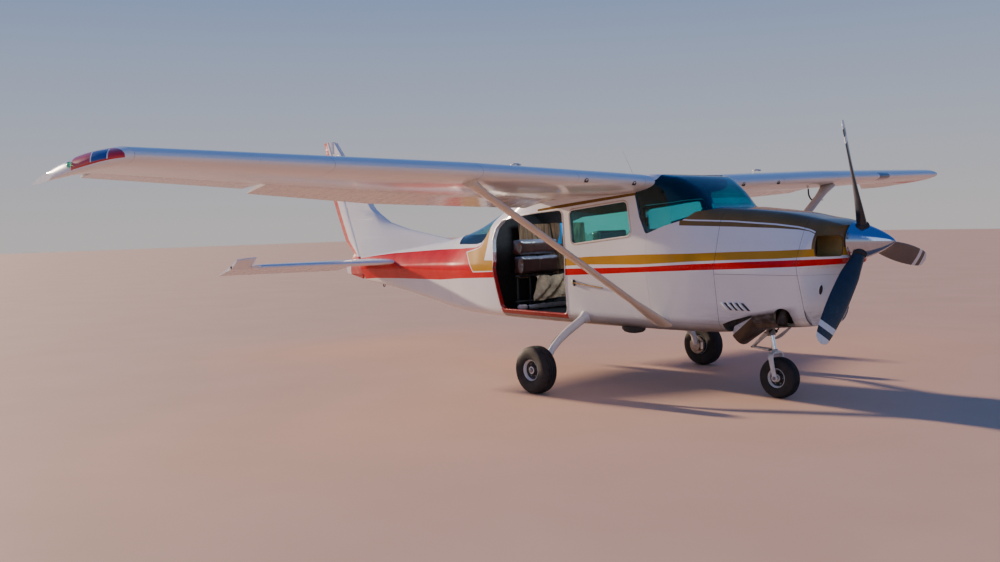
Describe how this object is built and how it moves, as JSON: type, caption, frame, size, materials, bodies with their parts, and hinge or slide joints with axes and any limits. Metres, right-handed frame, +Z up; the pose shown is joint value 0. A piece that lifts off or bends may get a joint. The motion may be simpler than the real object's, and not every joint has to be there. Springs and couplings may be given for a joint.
{
  "type": "light aircraft",
  "caption": "High-wing light aircraft on fixed nose-wheel gear with a hollow cabin, open cargo opening, hinged crew door, turning propeller and wheels, and moving control surfaces.",
  "frame": {"origin": "on the ground, on the plane of symmetry, at the middle of the length", "axes": "+X to the nose, +Y to the left wing tip, +Z up"},
  "size_m": [8.504, 10.92, 2.7585],
  "materials": {
    "white_skin": "gloss",
    "gold_skin": "gloss",
    "red_tip": "gloss",
    "acrylic": "polished",
    "dark_interior": "matte",
    "panel": "matte",
    "firewall_steel": "satin",
    "gear_steel": "gloss",
    "fork_steel": "satin",
    "exhaust_steel": "matte",
    "engine_iron": "matte",
    "wheel_alloy": "satin",
    "tyre": "matte",
    "spinner_alloy": "polished",
    "blade": "satin",
    "seat_leather": "satin",
    "drape_cloth": "matte"
  },
  "bodies": {
    "airframe": {"cabin_belly": "white_skin", "cabin_roof": "white_skin", "cabin_side_right": "white_skin", "cabin_side_left": "white_skin", "rear_fuselage": "white_skin", "tailcone": "white_skin", "fin": "white_skin", "stabilizer_right": "white_skin", "stabilizer_left": "white_skin", "wing_right": "white_skin", "wing_left": "white_skin", "wing_strut_right": "white_skin", "wing_strut_left": "white_skin", "cowl_upper": "white_skin", "cowl_lower": "white_skin", "cowl_flap_right": "white_skin", "cowl_flap_left": "white_skin", "nose_bowl": "gold_skin", "wing_tip_right": "red_tip", "wing_tip_left": "red_tip", "windshield": "acrylic", "rear_window": "acrylic", "window_right_front": "acrylic", "window_left_rear": "acrylic", "cabin_floor": "dark_interior", "instrument_panel": "panel", "firewall": "firewall_steel", "main_leg_right": "gear_steel", "main_leg_left": "gear_steel", "nose_oleo": "gear_steel", "exhaust_pipe": "exhaust_steel", "engine_block": "engine_iron", "seat_front_left": "seat_leather", "seat_front_right": "seat_leather", "seat_rear_bench": "seat_leather", "rear_curtain": "drape_cloth", "seat_blanket": "drape_cloth"},
    "propeller": {"spinner": "spinner_alloy", "blade_upper": "blade", "blade_right": "blade", "blade_lower": "blade"},
    "main_wheel_body_right": {"main_tyre_right": "tyre", "main_wheel_right": "wheel_alloy"},
    "main_wheel_body_left": {"main_tyre_left": "tyre", "main_wheel_left": "wheel_alloy"},
    "nose_fork_body": {"nose_fork": "fork_steel"},
    "nose_wheel_body": {"nose_tyre": "tyre", "nose_wheel": "wheel_alloy"},
    "crew_door_body": {"crew_door": "white_skin", "crew_door_window": "acrylic"},
    "rudder_body": {"rudder": "white_skin"},
    "elevator_body": {"elevator": "white_skin"},
    "flap_body_right": {"flap_right": "white_skin"},
    "flap_body_left": {"flap_left": "white_skin"},
    "aileron_body_right": {"aileron_right": "white_skin"},
    "aileron_body_left": {"aileron_left": "white_skin"}
  },
  "joints": [
    {"name": "propeller_spin", "type": "hinge", "parent": "airframe", "child": "propeller", "pos_m": [3.988, 0, 1.3735], "axis": [1, 0, 0], "continuous": true},
    {"name": "main_wheel_spin_right", "type": "hinge", "parent": "airframe", "child": "main_wheel_body_right", "pos_m": [1.371, -1.24, 0.2225], "axis": [0, 1, 0], "continuous": true},
    {"name": "main_wheel_spin_left", "type": "hinge", "parent": "airframe", "child": "main_wheel_body_left", "pos_m": [1.371, 1.24, 0.2225], "axis": [0, 1, 0], "continuous": true},
    {"name": "nose_steering", "type": "hinge", "parent": "airframe", "child": "nose_fork_body", "pos_m": [3.171, 0, 0.18], "axis": [-0.2079, 0, 0.9781], "range_deg": [-35, 35]},
    {"name": "nose_wheel_spin", "type": "hinge", "parent": "nose_fork_body", "child": "nose_wheel_body", "pos_m": [3.171, 0, 0.18], "axis": [0, 1, 0], "continuous": true},
    {"name": "crew_door_swing", "type": "hinge", "parent": "airframe", "child": "crew_door_body", "pos_m": [2.141, 0.612, 1.1735], "axis": [0, 0, -1], "range_deg": [0, 80]},
    {"name": "rudder_swing", "type": "hinge", "parent": "airframe", "child": "rudder_body", "pos_m": [-3.291, 0, 0.9255], "axis": [-0.4124, 0, 0.911], "range_deg": [-24, 24]},
    {"name": "elevator_swing", "type": "hinge", "parent": "airframe", "child": "elevator_body", "pos_m": [-3.247, 0, 1.1235], "axis": [0, 1, 0], "range_deg": [0, 38]},
    {"name": "flap_swing_left", "type": "hinge", "parent": "airframe", "child": "flap_body_left", "pos_m": [1.03271, 0.66, 1.85937], "axis": [-0.0224, -0.999, -0.039], "range_deg": [-10, 30]},
    {"name": "flap_swing_right", "type": "hinge", "parent": "airframe", "child": "flap_body_right", "pos_m": [1.03271, -0.66, 1.85937], "axis": [0.0224, -0.999, 0.039], "range_deg": [-10, 30]},
    {"name": "aileron_swing_left", "type": "hinge", "parent": "airframe", "child": "aileron_body_left", "pos_m": [1.07043, 3.83, 1.97948], "axis": [-0.0677, -0.9968, -0.0422], "range_deg": [-21, 14.5]},
    {"name": "aileron_swing_right", "type": "hinge", "parent": "airframe", "child": "aileron_body_right", "pos_m": [1.07043, -3.83, 1.97948], "axis": [0.0677, -0.9968, 0.0422], "range_deg": [-14.5, 21]}
  ],
  "couplings": [
    {"joint": "flap_swing_right", "follows": "flap_swing_left", "ratio": 1},
    {"joint": "aileron_swing_right", "follows": "aileron_swing_left", "ratio": -1}
  ]
}
